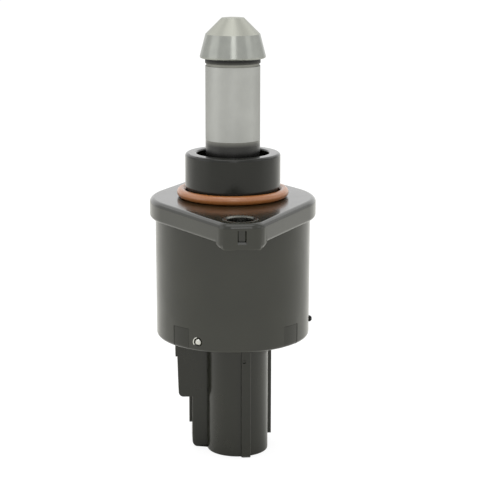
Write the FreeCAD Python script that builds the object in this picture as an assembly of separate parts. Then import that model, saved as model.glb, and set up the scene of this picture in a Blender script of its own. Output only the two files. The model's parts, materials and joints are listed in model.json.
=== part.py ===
import FreeCAD, Part
import math
import os

# Idle air control valve: a linear stepper with its plunger pointing up.
# Origin: centre of the flange's sealing face. +Z runs along the axis towards the pintle tip.
# The two screw holes lie on the Y axis. The connector hangs below. All sizes in millimetres.

Vector = FreeCAD.Vector
ORIGIN = Vector(0, 0, 0)
UP = Vector(0, 0, 1)

# Fits and clearances
running_gap = 0.10
shaft_gap = 0.05
seat_gap = 0.02
tongue_gap = 0.08
air_gap = 0.30

# Neck, the pilot that enters the throttle body
neck_radius = 11.15
neck_top = 10.4
neck_edge_round = 0.7
recess_radius = 8.45
recess_floor = 3.0
recess_edge_round = 0.4
ring_groove_radius = 10.68
ring_groove_height = 2.75

# O-ring that lies on the flange
ring_section_radius = 1.2

# Flange: a disc drawn out to a blunt tip at each screw, with a square boss below it
flange_thickness = 4.7
flange_overhang = 1.3
flange_tip_radius = 3.6
flange_edge_round = 1.2
flange_lower_round = 0.8
screw_distance = 27.0
boss_reach = 6.0
boss_half_width = 5.6
boss_corner_radius = 2.4
boss_drop = 1.2
boss_edge_round = 0.4
boss_window_width = 1.9
boss_window_height = 2.6
boss_window_top = 1.5
boss_window_depth = 1.0
boss_window_corner = 0.45
boss_window_lip = 0.4

# Steel compression bushes in the flange
bush_radius = 4.0
bush_bore_radius = 3.0
bush_edge = 0.12
bush_lead_in = 0.7
bush_lead_in_depth = 0.25

# Housing skirt
skirt_top_radius = 18.2
skirt_draft = 0.1
skirt_wall = 1.75
skirt_bottom = -33.3
skirt_edge_round = 0.9
pocket_top = -14.3

# Coring above the stator, between the bearing tower and the skirt
core_inner_radius = 10.2
core_top = -6.8
core_rib_count = 6
core_rib_width = 1.4

# Plunger guide inside the neck
plunger_radius = 6.38
guide_bottom = -2.5
key_count = 2
key_width = 1.6
key_proud = 0.8
spring_well_radius = 7.4

# Moving plunger, drawn fully out
travel = 8.0
end_clearance = 0.5
key_height = 3.0
sleeve_bottom = 13.5
sleeve_wall = 1.0
sleeve_neck_height = 0.65
sleeve_neck_step = 0.2
tip_seal_height = 1.1
tip_base = 32.4
tip_spigot_length = 3.0

# Pintle tip
tip_lip_radius = 7.66
tip_lip_height = 0.5
tip_lip_round = 0.4
tip_shoulder_radius = 6.35
tip_shoulder = 37.9
tip_flat_radius = 2.6
tip_top = 41.6

# Wiper seal in the neck
wiper_height = 1.6
wiper_lip_height = 0.6
wiper_lip_wall = 0.7

# Lead screw
screw_radius = 2.0
screw_head_radius = 3.2
screw_head_height = 2.0
screw_head_bottom = 4.0
screw_end = -17.5
screw_point = 0.5

# Front ball bearing
bearing_radius = 8.0
bearing_bore_radius = 4.0
bearing_top = -9.3
bearing_width = 4.5
ball_radius = 1.1
ball_count = 7
race_depth = 0.35

# Rotor
magnet_wall = 4.6
magnet_top = -14.9
magnet_bottom = -28.1
hub_top = -9.5
nut_bottom = -16.0
hub_relief_radius = 2.5
hub_relief_bottom = -29.3
hub_shoulder = -14.2
hub_shoulder_radius = 5.0
hub_flange_proud = 1.2
hub_flange_height = 0.4
tail_radius = 2.9
tail_bottom = -30.6

# Rear bush
rear_bush_radius = 4.6
rear_bush_height = 1.9

# Claw-pole stator: two phases, each a pair of cups round a bobbin
stack_clearance = 0.3
phase_height = 7.0
sheet = 0.8
claw_thickness = 0.9
claw_count = 6
claw_tip_gap = 0.6
claw_base_width = 4.2
claw_tip_width = 2.2
bobbin_wall = 0.7
bobbin_clearance = 0.1
claw_to_bobbin_gap = 0.3
winding_depth = 2.75
coil_depth_below_rim = 0.4

# Cover with the connector
cover_plate_bottom = -32.5
cover_plate_thickness = 1.6
spigot_wall = 1.5
spigot_clearance = 0.1
gasket_thickness = 0.6
bush_boss_radius = 6.2
window_count = 4
window_first_angle = 45.0
window_angle = 15.0
window_top = -28.2
tongue_recess = 0.06

# Radial retaining pins: angle from the front towards +X, height and how far the end stands out
pin_radius = 0.75
pin_reach_inside = 1.3
pin_dome = 0.35
pin_sink_radius = 1.25
pin_sink_depth = 0.35
pin_angles = (-30.0, 90.0, 210.0)
pin_heights = (-31.1, -30.1, -30.1)
pin_proud = (0.25, 0.8, 0.8)

# Connector shell
connector_bottom = -62.1
lobe_x = 1.12
lobe_y = 0.0
lobe_radius = 7.3
shell_left = -9.75
shell_right = 8.45
shell_front = -0.1
shell_back = 7.4
shell_corner_round = 1.3
shell_wall = 1.3
shell_edge_round = 0.3
key_corner_round = 1.4
socket_depth = 14.0
collar_proud = 0.15
collar_bottom = -37.5
rib_x = 2.67
rib_width = 2.2
rib_proud = 1.0
rib_chamfer = 0.5
block_left = -13.0
block_draft = 0.5
block_depth = 5.0
block_bottom = -49.4
block_step = -39.2
block_step_proud = 0.25
block_step_right = -6.75
block_corner_round = 1.2
left_rail_outer = -10.4
left_rail_bottom = -56.6
right_rail_outer = 9.55
right_rail_bottom = -59.8
rail_front = 3.2
rail_depth = 1.8
latch_width = 5.0
latch_height = 4.0
latch_proud = 1.2
latch_top = -48.0

# Terminals
terminal_count = 4
terminal_pitch = 3.3
terminal_width = 1.5
terminal_thickness = 0.64
terminal_y = 3.6
terminal_tip = -56.0
terminal_point = 0.2
terminal_run_z = -31.9
terminal_rise_y = 9.4
terminal_top = -29.3

# Radii and levels that follow from the sizes above
flange_half_width = skirt_top_radius + flange_overhang
skirt_bottom_radius = skirt_top_radius - skirt_draft
pocket_radius = skirt_bottom_radius - skirt_wall
pin_inner_end = pocket_radius - pin_reach_inside
stack_radius = pocket_radius - stack_clearance
bobbin_outer_radius = stack_radius - sheet - bobbin_clearance
coil_outer_radius = bobbin_outer_radius - coil_depth_below_rim
bobbin_inner_radius = coil_outer_radius - winding_depth - bobbin_wall
claw_inner_radius = bobbin_inner_radius - claw_to_bobbin_gap - claw_thickness
magnet_radius = claw_inner_radius - air_gap
magnet_bore_radius = magnet_radius - magnet_wall
hub_flange_radius = magnet_bore_radius + hub_flange_proud
plunger_bottom = bearing_top + end_clearance + travel
stack_top = pocket_top
stack_bottom = stack_top - 2 * phase_height
spigot_top = stack_bottom - gasket_thickness
rear_bush_top = spigot_top
claw_length = phase_height - 2 * sheet - claw_tip_gap


def cylinder(radius, low, high, x=0.0, y=0.0):
    return Part.makeCylinder(radius, high - low, Vector(x, y, low), UP)


def ring(inner, outer, low, high):
    return cylinder(outer, low, high).cut(cylinder(inner, low, high))


def box(x0, x1, y0, y1, z0, z1):
    return Part.makeBox(x1 - x0, y1 - y0, z1 - z0, Vector(x0, y0, z0))


def turned(points):
    # Solid of revolution from a closed outline of (radius, height) points
    outline = [Vector(r, 0, z) for r, z in points]
    face = Part.Face(Part.makePolygon(outline + outline[:1]))
    return face.revolve(ORIGIN, UP, 360)


def about_axis(shape, degrees):
    turned_copy = shape.copy()
    turned_copy.rotate(ORIGIN, UP, degrees)
    return turned_copy


def fuse_all(shapes):
    return shapes[0].multiFuse(shapes[1:]).removeSplitter()


def level_circles(shape, radius, height):
    # Full circular edges of one radius at one height, centred on the axis
    found = []
    for edge in shape.Edges:
        box_of_edge = edge.BoundBox
        flat = abs(box_of_edge.ZMax - height) < 1e-4 and abs(box_of_edge.ZMin - height) < 1e-4
        if flat and abs(box_of_edge.XMax - radius) < 1e-3 and abs(box_of_edge.XMin + radius) < 1e-3:
            found.append(edge)
    return found


def level_edges(shape, height):
    found = []
    for edge in shape.Edges:
        box_of_edge = edge.BoundBox
        if abs(box_of_edge.ZMax - height) < 1e-4 and abs(box_of_edge.ZMin - height) < 1e-4:
            found.append(edge)
    return found


def flange_outline(disc, half_width, reach, corner, height):
    # A disc and two blunt tips with rounded corners, joined by their common tangents, as one closed wire
    corner_x = half_width - corner
    corner_y = reach - corner
    away = math.hypot(corner_x, corner_y)
    lean = math.atan2(corner_y, corner_x) - math.acos((disc - corner) / away)
    normal = Vector(math.cos(lean), math.sin(lean), 0)
    middle = Vector(math.cos(math.pi / 4 + lean / 2), math.sin(math.pi / 4 + lean / 2), 0)
    centre = Vector(corner_x, corner_y, height)
    disc_point = Vector(0, 0, height) + normal * disc
    corner_point = centre + normal * corner
    corner_middle = centre + middle * corner
    tip_point = Vector(corner_x, reach, height)

    def mirrored(point, sx, sy):
        return Vector(point.x * sx, point.y * sy, point.z)

    edges = []
    for sx, sy in ((1, 1), (-1, 1), (-1, -1), (1, -1)):
        edges.append(Part.LineSegment(mirrored(disc_point, sx, sy), mirrored(corner_point, sx, sy)))
        edges.append(Part.Arc(mirrored(corner_point, sx, sy), mirrored(corner_middle, sx, sy),
                              mirrored(tip_point, sx, sy)))
    for sign in (1, -1):
        side = Vector(sign * disc, 0, height)
        edges.append(Part.Arc(mirrored(disc_point, sign, 1), side, mirrored(disc_point, sign, -1)))
        edges.append(Part.LineSegment(mirrored(tip_point, 1, sign), mirrored(tip_point, -1, sign)))
    return Part.Wire(Part.__sortEdges__([e.toShape() for e in edges]))


def make_flange():
    wire = flange_outline(flange_half_width, boss_half_width, screw_distance + boss_reach,
                          flange_tip_radius, -flange_thickness)
    flange = Part.Face(wire).extrude(Vector(0, 0, flange_thickness))
    flange = flange.makeFillet(flange_edge_round, level_edges(flange, 0.0))
    flange = flange.makeFillet(flange_lower_round, level_edges(flange, -flange_thickness))
    return flange


def make_boss(sign):
    # Square column round a screw hole, flush with the flange's tip and a little deeper than the flange
    low = -flange_thickness - boss_drop
    column = rounded_block(-boss_half_width, boss_half_width, screw_distance - boss_half_width,
                           screw_distance + boss_reach, low, -flange_edge_round, boss_corner_radius)
    column = column.makeFillet(boss_edge_round, level_edges(column, low))
    return column if sign > 0 else about_axis(column, 180)


def boss_window(sign):
    # Upright pocket in the outer face of a screw boss, with a sloped lower lip
    half = boss_window_width / 2
    face = screw_distance + boss_reach
    low = -boss_window_top - boss_window_height
    pocket = rounded_block(-half, half, face - boss_window_depth, face + 1, low, -boss_window_top,
                           boss_window_corner)
    slope = [Vector(-half, face - boss_window_lip, low), Vector(-half, face, low - boss_window_lip),
             Vector(-half, face, low)]
    lip = Part.Face(Part.makePolygon(slope + slope[:1])).extrude(Vector(2 * half, 0, 0))
    window = pocket.fuse(lip)
    return window if sign > 0 else about_axis(window, 180)


def sector(inner, outer, low, high, angle, width):
    # Part of a ring, centred on an angle measured from the front towards +X
    piece = Part.makeCylinder(outer, high - low, Vector(0, 0, low), UP, width)
    core = cylinder(inner, low - 1, high + 1)
    piece.rotate(ORIGIN, UP, angle - 90 - width / 2)
    return piece.cut(core)


def radial_cylinder(radius, start, end, angle, height):
    direction = Vector(math.sin(math.radians(angle)), -math.cos(math.radians(angle)), 0)
    return Part.makeCylinder(radius, end - start, direction * start + Vector(0, 0, height), direction)


def radial_cone(radius_start, radius_end, start, end, angle, height):
    direction = Vector(math.sin(math.radians(angle)), -math.cos(math.radians(angle)), 0)
    base = direction * start + Vector(0, 0, height)
    return Part.makeCone(radius_start, radius_end, end - start, base, direction)


def skirt_radius_at(height):
    share = (height + flange_thickness) / (skirt_bottom + flange_thickness)
    return skirt_top_radius + (skirt_bottom_radius - skirt_top_radius) * share


def window_angles():
    step = 360 / window_count
    return [window_first_angle + step * i for i in range(window_count)]


def key_ribs(low, high, extra):
    ribs = []
    for i in range(key_count):
        half = key_width / 2 + extra
        reach = plunger_radius + key_proud + extra
        rib = box(0, reach, -half, half, low, high)
        ribs.append(about_axis(rib, 360 / key_count * i))
    return ribs


def make_housing():
    neck = turned([(0, 0), (ring_groove_radius, 0), (ring_groove_radius, ring_groove_height),
                   (neck_radius, ring_groove_height), (neck_radius, neck_top), (0, neck_top)])
    neck = neck.makeFillet(neck_edge_round, level_circles(neck, neck_radius, neck_top))
    skirt = Part.makeCone(skirt_bottom_radius, skirt_top_radius, -flange_thickness - skirt_bottom,
                          Vector(0, 0, skirt_bottom), UP)
    skirt = skirt.makeFillet(skirt_edge_round, level_circles(skirt, skirt_bottom_radius, skirt_bottom))
    body = fuse_all([make_flange(), neck, skirt, make_boss(1), make_boss(-1)])

    # Bores along the axis, from the recess in the neck down to the open skirt
    guide_radius = plunger_radius + running_gap
    bore = fuse_all([
        cylinder(recess_radius, recess_floor, neck_top + 1),
        cylinder(guide_radius, guide_bottom, recess_floor),
        cylinder(spring_well_radius, bearing_top, guide_bottom),
        cylinder(bearing_radius + seat_gap, pocket_top, bearing_top),
        cylinder(pocket_radius, skirt_bottom - 1, pocket_top),
    ] + key_ribs(guide_bottom, recess_floor, running_gap))
    body = body.cut(bore)
    body = body.makeFillet(recess_edge_round, level_circles(body, recess_radius, neck_top))

    # Coring round the bearing tower leaves ribs that carry the stator stack
    core = ring(core_inner_radius, pocket_radius, pocket_top, core_top)
    for i in range(core_rib_count):
        rib = box(core_inner_radius - 1, pocket_radius + 1, -core_rib_width / 2, core_rib_width / 2,
                  pocket_top, core_top)
        core = core.cut(about_axis(rib, 360 / core_rib_count * i))
    body = body.cut(core)

    # Screw bosses: bush holes and the window in each outer face
    for sign in (1, -1):
        body = body.cut(cylinder(bush_radius + seat_gap, -flange_thickness - boss_drop - 1, 1,
                                 0, sign * screw_distance))
        body = body.cut(boss_window(sign))

    # Windows for the cover's tongues, open at the lower edge
    for angle in window_angles():
        body = body.cut(sector(pocket_radius - 0.5, skirt_top_radius + 1, skirt_bottom - 1, window_top,
                               angle, window_angle))

    # Countersunk holes for the retaining pins
    for angle, height in zip(pin_angles, pin_heights):
        surface = skirt_radius_at(height)
        body = body.cut(radial_cylinder(pin_radius + seat_gap, pocket_radius - 1, surface + 1,
                                        angle, height))
        body = body.cut(radial_cone(pin_radius + seat_gap, pin_sink_radius, surface - pin_sink_depth,
                                    surface + 0.05, angle, height))
    return body


def make_o_ring():
    centre = ring_groove_radius + seat_gap + ring_section_radius
    return Part.makeTorus(centre, ring_section_radius, Vector(0, 0, ring_section_radius + seat_gap))


def make_bush(sign):
    low = -flange_thickness - boss_drop
    y = sign * screw_distance
    bush = cylinder(bush_radius, low, 0.0, 0, y)
    bush = bush.makeChamfer(bush_edge, level_edges(bush, 0.0))
    bore = cylinder(bush_bore_radius, low - 1, 1, 0, y)
    lead_in = Part.makeCone(bush_bore_radius, bush_bore_radius + bush_lead_in, bush_lead_in_depth,
                            Vector(0, y, -bush_lead_in_depth), UP)
    return bush.cut(bore.fuse(lead_in))


def make_pin(angle, height, proud):
    end = skirt_radius_at(height) + proud
    shank = radial_cylinder(pin_radius, pin_inner_end, end - pin_dome, angle, height)
    dome = radial_cone(pin_radius, pin_radius * 0.55, end - pin_dome, end, angle, height)
    return fuse_all([shank, dome])


def make_pintle_tip():
    spigot_radius = plunger_radius - sleeve_wall - seat_gap
    slope = (tip_lip_radius - tip_shoulder_radius) / (tip_shoulder - tip_base - tip_lip_height)
    waist = tip_shoulder_radius + slope * (tip_shoulder - tip_base - tip_lip_height)
    tip = turned([(0, tip_base), (tip_lip_radius, tip_base), (waist, tip_base + tip_lip_height),
                  (tip_shoulder_radius, tip_shoulder), (tip_flat_radius, tip_top), (0, tip_top)])
    tip = tip.makeFillet(tip_lip_round, level_circles(tip, tip_lip_radius, tip_base))
    spigot = cylinder(spigot_radius, tip_base - tip_seal_height - tip_spigot_length, tip_base)
    return fuse_all([tip, spigot])


def make_tip_seal():
    inner = plunger_radius - sleeve_wall
    seal = ring(inner, plunger_radius + 0.05, tip_base - tip_seal_height, tip_base)
    return seal


def make_sleeve():
    # The top end is necked down a little under the seal
    top = tip_base - tip_seal_height
    bore = plunger_radius - sleeve_wall
    tube = ring(bore, plunger_radius, sleeve_bottom, top - sleeve_neck_height)
    neck = ring(bore, plunger_radius - sleeve_neck_step, top - sleeve_neck_height, top)
    return fuse_all([tube, neck])


def make_plunger_body():
    spigot_top = tip_base - tip_seal_height - tip_spigot_length - seat_gap
    spigot_radius = plunger_radius - sleeve_wall - seat_gap
    body = fuse_all([
        cylinder(plunger_radius, plunger_bottom, sleeve_bottom),
        cylinder(spigot_radius, sleeve_bottom, spigot_top),
    ] + key_ribs(plunger_bottom, plunger_bottom + key_height, 0.0))
    head_top = screw_head_bottom + screw_head_height
    hole = fuse_all([
        cylinder(screw_radius + seat_gap, plunger_bottom - 1, screw_head_bottom),
        cylinder(screw_head_radius + seat_gap, screw_head_bottom - seat_gap, head_top + seat_gap),
    ])
    return body.cut(hole)


def make_lead_screw():
    head_top = screw_head_bottom + screw_head_height
    return turned([(0, screw_end), (screw_radius - screw_point, screw_end),
                   (screw_radius, screw_end + screw_point), (screw_radius, screw_head_bottom),
                   (screw_head_radius, screw_head_bottom), (screw_head_radius, head_top), (0, head_top)])


def make_wiper_seal():
    inner = plunger_radius + running_gap
    outer = recess_radius - seat_gap
    top = recess_floor + wiper_height
    return turned([(inner, recess_floor), (outer, recess_floor), (outer, top - wiper_lip_height),
                   (inner + wiper_lip_wall, top - wiper_lip_height), (inner + wiper_lip_wall / 2, top),
                   (inner, top)])


def ball_track_radius():
    return (bearing_radius + bearing_bore_radius) / 2


def ball_height():
    return bearing_top - bearing_width / 2


def race_groove():
    return Part.makeTorus(ball_track_radius(), ball_radius + shaft_gap, Vector(0, 0, ball_height()))


def make_bearing_outer():
    inner = ball_track_radius() + ball_radius - race_depth
    return ring(inner, bearing_radius, bearing_top - bearing_width, bearing_top).cut(race_groove())


def make_bearing_inner():
    outer = ball_track_radius() - ball_radius + race_depth
    low = bearing_top - bearing_width
    return ring(bearing_bore_radius, outer, low, bearing_top).cut(race_groove())


def make_bearing_balls():
    balls = []
    for i in range(ball_count):
        angle = math.radians(360 / ball_count * i)
        centre = Vector(math.cos(angle), math.sin(angle), 0) * ball_track_radius()
        balls.append(Part.makeSphere(ball_radius, centre + Vector(0, 0, ball_height())))
    return Part.makeCompound(balls)


def make_rotor_hub():
    nose = bearing_bore_radius - seat_gap
    hub = magnet_bore_radius - seat_gap
    seat = bearing_top - bearing_width
    outline = [(0, tail_bottom), (tail_radius, tail_bottom), (tail_radius, magnet_bottom - hub_flange_height),
               (hub_flange_radius, magnet_bottom - hub_flange_height), (hub_flange_radius, magnet_bottom),
               (hub, magnet_bottom), (hub, hub_shoulder), (hub_shoulder_radius, hub_shoulder),
               (hub_shoulder_radius, seat), (nose, seat), (nose, hub_top), (0, hub_top)]
    hub_solid = turned(outline)
    hub_solid = hub_solid.cut(cylinder(screw_radius + shaft_gap, nut_bottom, hub_top + 1))
    return hub_solid.cut(cylinder(hub_relief_radius, hub_relief_bottom, nut_bottom))


def make_rotor_magnet():
    return ring(magnet_bore_radius, magnet_radius, magnet_bottom, magnet_top)


def make_rear_bush():
    return ring(tail_radius + shaft_gap, rear_bush_radius, rear_bush_top - rear_bush_height, rear_bush_top)


def make_claws(plate_level, direction):
    # Tapered pole fingers that stand up from the inner edge of a cup
    outer = claw_inner_radius + claw_thickness
    tip_level = plate_level + direction * claw_length
    band = ring(claw_inner_radius, outer, min(plate_level, tip_level), max(plate_level, tip_level))
    half_base = claw_base_width / 2
    half_tip = claw_tip_width / 2
    outline = [Vector(0, -half_base, plate_level), Vector(0, half_base, plate_level),
               Vector(0, half_tip, tip_level), Vector(0, -half_tip, tip_level)]
    face = Part.Face(Part.makePolygon(outline + outline[:1]))
    wedge = face.extrude(Vector(outer + 1, 0, 0))
    finger = band.common(wedge)
    return [about_axis(finger, 360 / claw_count * i) for i in range(claw_count)]


def make_stator_cup(outer_level, direction, angle):
    # outer_level is the plate's outside face; direction points to the cup's open side
    inner_level = outer_level + direction * sheet
    rim_level = outer_level + direction * phase_height / 2
    plate = ring(claw_inner_radius, stack_radius, min(outer_level, inner_level), max(outer_level, inner_level))
    wall = ring(stack_radius - sheet, stack_radius, min(outer_level, rim_level), max(outer_level, rim_level))
    cup = fuse_all([plate, wall] + make_claws(inner_level, direction))
    return about_axis(cup, angle)


def make_bobbin(low):
    high = low + phase_height - 2 * sheet
    spool = turned([(bobbin_inner_radius, low), (bobbin_outer_radius, low),
                    (bobbin_outer_radius, low + bobbin_wall), (bobbin_inner_radius + bobbin_wall, low + bobbin_wall),
                    (bobbin_inner_radius + bobbin_wall, high - bobbin_wall), (bobbin_outer_radius, high - bobbin_wall),
                    (bobbin_outer_radius, high), (bobbin_inner_radius, high)])
    return spool


def make_coil(low):
    high = low + phase_height - 2 * sheet
    return ring(bobbin_inner_radius + bobbin_wall, coil_outer_radius, low + bobbin_wall, high - bobbin_wall)


def terminal_places():
    first = lobe_x - 1.0 - terminal_pitch * (terminal_count - 1) / 2
    return [first + terminal_pitch * i for i in range(terminal_count)]


def terminal_boxes(x, extra):
    # Blade, run under the cover plate and riser to the coil side
    half = terminal_width / 2 + extra
    half_t = terminal_thickness / 2 + extra
    blade = box(x - half, x + half, terminal_y - half_t, terminal_y + half_t,
                terminal_tip, terminal_run_z + half_t)
    run = box(x - half, x + half, terminal_y - half_t, terminal_rise_y + half_t,
              terminal_run_z - half_t, terminal_run_z + half_t)
    riser = box(x - half, x + half, terminal_rise_y - half_t, terminal_rise_y + half_t,
                terminal_run_z - half_t, terminal_top + extra)
    return fuse_all([blade, run, riser])


def make_terminal(x):
    terminal = terminal_boxes(x, 0.0)
    return terminal.makeChamfer(terminal_point, level_edges(terminal, terminal_tip))


def rounded_block(x0, x1, y0, y1, z0, z1, radius):
    block = box(x0, x1, y0, y1, z0, z1)
    upright = [e for e in block.Edges if abs(e.BoundBox.ZMax - e.BoundBox.ZMin) > (z1 - z0) / 2]
    return block.makeFillet(radius, upright)


def shell_solid(low, high, grow):
    # Round-fronted lobe with straight sides, joined to the wider back; grow moves every wall out
    half = lobe_radius + grow
    lobe = cylinder(half, low, high, lobe_x, lobe_y)
    waist = box(lobe_x - half, lobe_x + half, lobe_y, shell_back + grow, low, high)
    back = rounded_block(shell_left - grow, shell_right + grow, shell_front - grow, shell_back + grow,
                         low, high, max(shell_corner_round + grow, 0.3))
    return fuse_all([lobe, waist, back])


def key_corner():
    # What rounds off the lower left corner of the connector's wide key
    reach = shell_back - shell_front + 2
    start = Vector(shell_left + key_corner_round, shell_front - 1, connector_bottom + key_corner_round)
    corner = box(shell_left - 1, start.x, start.y, start.y + reach, connector_bottom - 1, start.z)
    return corner.cut(Part.makeCylinder(key_corner_round, reach, start, Vector(0, 1, 0)))


def make_connector_shell():
    plate_level = cover_plate_bottom + 0.2
    shell = shell_solid(connector_bottom, plate_level, 0.0)
    shell = shell.makeFillet(shell_edge_round, level_edges(shell, connector_bottom))
    shell = shell.cut(key_corner())
    collar = shell_solid(collar_bottom, plate_level, collar_proud)

    rib_front = lobe_y - lobe_radius - rib_proud
    rib = box(rib_x - rib_width / 2, rib_x + rib_width / 2, rib_front, lobe_y, connector_bottom, plate_level)
    rib_edges = [e for e in rib.Edges if abs(e.BoundBox.YMax - rib_front) < 1e-6
                 and abs(e.BoundBox.YMin - rib_front) < 1e-6 and e.BoundBox.ZMax < plate_level - 1e-6
                 and e.BoundBox.ZMin > connector_bottom - 1]
    rib = rib.makeChamfer(min(rib_chamfer, rib_width / 4), rib_edges)

    # Left block, its outer side drafted, with a raised step against the cover plate
    block_top_left = block_left - block_draft
    block_outline = [Vector(block_left, shell_front, block_bottom), Vector(shell_left + 1, shell_front, block_bottom),
                     Vector(shell_left + 1, shell_front, plate_level), Vector(block_top_left, shell_front, plate_level)]
    block = Part.Face(Part.makePolygon(block_outline + block_outline[:1])).extrude(Vector(0, block_depth, 0))
    lower_edge = [e for e in block.Edges if e.BoundBox.XMax < block_left + 1e-6
                  and e.BoundBox.ZMax < block_bottom + 1e-6]
    block = block.makeFillet(block_corner_round, lower_edge)
    step = box(block_top_left - block_step_proud, block_step_right, shell_front - block_step_proud,
               shell_front + block_depth + block_step_proud, block_step, plate_level)

    left_rail = box(left_rail_outer, shell_left + 0.5, rail_front, rail_front + rail_depth,
                    left_rail_bottom, plate_level)
    right_rail = box(shell_right - 0.5, right_rail_outer, rail_front, rail_front + rail_depth,
                     right_rail_bottom, plate_level)

    # Locking wedge for the plug's clip on the hidden back
    wedge_outline = [Vector(0, shell_back - 0.5, latch_top), Vector(0, shell_back + latch_proud, latch_top),
                     Vector(0, shell_back, latch_top - latch_height),
                     Vector(0, shell_back - 0.5, latch_top - latch_height)]
    wedge = Part.Face(Part.makePolygon(wedge_outline + wedge_outline[:1])).extrude(Vector(latch_width, 0, 0))
    wedge.translate(Vector(lobe_x - 2 - latch_width / 2, 0, 0))

    shell = fuse_all([shell, collar, rib, block, step, left_rail, right_rail, wedge])
    socket = shell_solid(connector_bottom - 1, connector_bottom + socket_depth, -shell_wall)
    return shell.cut(socket)


def make_connector_cover():
    plate_top = cover_plate_bottom + cover_plate_thickness
    spigot_radius = pocket_radius - spigot_clearance
    plate = cylinder(spigot_radius, cover_plate_bottom, plate_top)
    spigot = ring(spigot_radius - spigot_wall, spigot_radius, plate_top, spigot_top)
    bush_boss = cylinder(bush_boss_radius, plate_top, rear_bush_top)
    tongues = []
    for angle in window_angles():
        side_gap = math.degrees(tongue_gap / skirt_bottom_radius)
        tongues.append(sector(spigot_radius - 0.5, skirt_bottom_radius - tongue_recess, cover_plate_bottom,
                              spigot_top, angle, window_angle - 2 * side_gap))
        tongues.append(sector(spigot_radius, skirt_bottom_radius - tongue_recess, spigot_top - 0.01,
                              window_top - tongue_gap, angle, window_angle - 2 * side_gap))
    cover = fuse_all([plate, spigot, bush_boss] + tongues + [make_connector_shell()])

    bush_seat = cylinder(rear_bush_radius + seat_gap, rear_bush_top - rear_bush_height, rear_bush_top + 1)
    cover = cover.cut(bush_seat)
    for x in terminal_places():
        cover = cover.cut(terminal_boxes(x, seat_gap))
    for angle, height in zip(pin_angles, pin_heights):
        cover = cover.cut(radial_cylinder(pin_radius + seat_gap, pin_inner_end - seat_gap,
                                          pocket_radius + 1, angle, height))
    return cover


def make_cover_gasket():
    return ring(stack_radius - spigot_wall, stack_radius, spigot_top, stack_bottom)


os.makedirs("parts", exist_ok=True)

nodes = {
    "housing": make_housing(),
    "connector_cover": make_connector_cover(),
    "o_ring": make_o_ring(),
    "flange_bush_front": make_bush(-1),
    "flange_bush_rear": make_bush(1),
    "pintle_tip": make_pintle_tip(),
    "tip_seal": make_tip_seal(),
    "plunger_sleeve": make_sleeve(),
    "plunger_body": make_plunger_body(),
    "lead_screw": make_lead_screw(),
    "wiper_seal": make_wiper_seal(),
    "bearing_outer_ring": make_bearing_outer(),
    "bearing_inner_ring": make_bearing_inner(),
    "bearing_balls": make_bearing_balls(),
    "rotor_hub": make_rotor_hub(),
    "rotor_magnet": make_rotor_magnet(),
    "rear_bush": make_rear_bush(),
    "cover_gasket": make_cover_gasket(),
}

for i, (angle, height, proud) in enumerate(zip(pin_angles, pin_heights, pin_proud)):
    nodes["retaining_pin_" + str(i + 1)] = make_pin(angle, height, proud)

claw_half_pitch = 180 / claw_count
for phase in range(2):
    high = stack_top - phase * phase_height
    low = high - phase_height
    twist = phase * claw_half_pitch / 2
    name = "abc"[phase]
    nodes["stator_cup_" + name + "_upper"] = make_stator_cup(high, -1, twist)
    nodes["stator_cup_" + name + "_lower"] = make_stator_cup(low, 1, twist + claw_half_pitch)
    nodes["bobbin_" + name] = make_bobbin(low + sheet)
    nodes["coil_" + name] = make_coil(low + sheet)

for i, x in enumerate(terminal_places()):
    nodes["terminal_" + str(i + 1)] = make_terminal(x)

for name, shape in nodes.items():
    shape.exportStep("parts/" + name + ".step")
    print(name, "solids", len(shape.Solids), "valid", shape.isValid(), "volume", round(shape.Volume, 1))
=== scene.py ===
import bmesh
import bpy
import json
import math
from mathutils import Matrix, Vector

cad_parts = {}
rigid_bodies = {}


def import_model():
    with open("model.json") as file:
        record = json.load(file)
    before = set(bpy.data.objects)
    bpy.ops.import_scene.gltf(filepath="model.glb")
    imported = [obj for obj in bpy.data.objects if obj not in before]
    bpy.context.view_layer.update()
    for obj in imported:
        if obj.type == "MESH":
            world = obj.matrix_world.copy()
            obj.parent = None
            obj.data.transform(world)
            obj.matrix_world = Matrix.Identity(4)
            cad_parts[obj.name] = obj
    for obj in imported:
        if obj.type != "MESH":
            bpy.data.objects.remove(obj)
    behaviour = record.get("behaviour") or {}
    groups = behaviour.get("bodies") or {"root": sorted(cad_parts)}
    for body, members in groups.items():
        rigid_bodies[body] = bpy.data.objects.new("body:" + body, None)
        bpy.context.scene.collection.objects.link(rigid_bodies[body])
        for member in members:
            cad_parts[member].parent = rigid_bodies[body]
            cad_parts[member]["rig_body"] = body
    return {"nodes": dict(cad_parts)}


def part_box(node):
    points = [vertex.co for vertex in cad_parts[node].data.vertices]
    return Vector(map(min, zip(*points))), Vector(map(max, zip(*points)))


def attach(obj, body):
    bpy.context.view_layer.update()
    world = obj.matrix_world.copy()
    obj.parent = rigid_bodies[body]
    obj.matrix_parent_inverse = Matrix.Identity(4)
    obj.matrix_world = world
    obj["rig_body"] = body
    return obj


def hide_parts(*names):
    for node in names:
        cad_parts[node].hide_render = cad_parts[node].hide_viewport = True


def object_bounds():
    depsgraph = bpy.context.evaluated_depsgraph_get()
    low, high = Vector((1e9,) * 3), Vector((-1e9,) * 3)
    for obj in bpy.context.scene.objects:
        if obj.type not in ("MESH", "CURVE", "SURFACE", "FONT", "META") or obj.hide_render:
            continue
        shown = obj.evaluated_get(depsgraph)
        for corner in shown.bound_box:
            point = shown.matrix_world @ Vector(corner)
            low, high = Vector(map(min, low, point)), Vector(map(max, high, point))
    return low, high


# Idle air control valve, standing on its connector with the pintle up. Lengths below are millimetres unless
# a name says otherwise, and mm() turns them to the scene's metres.

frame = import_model()
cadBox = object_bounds()
print("frame loaded:", len(frame["nodes"]), "CAD nodes")


def mm(value):
    return value * 0.001


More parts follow.
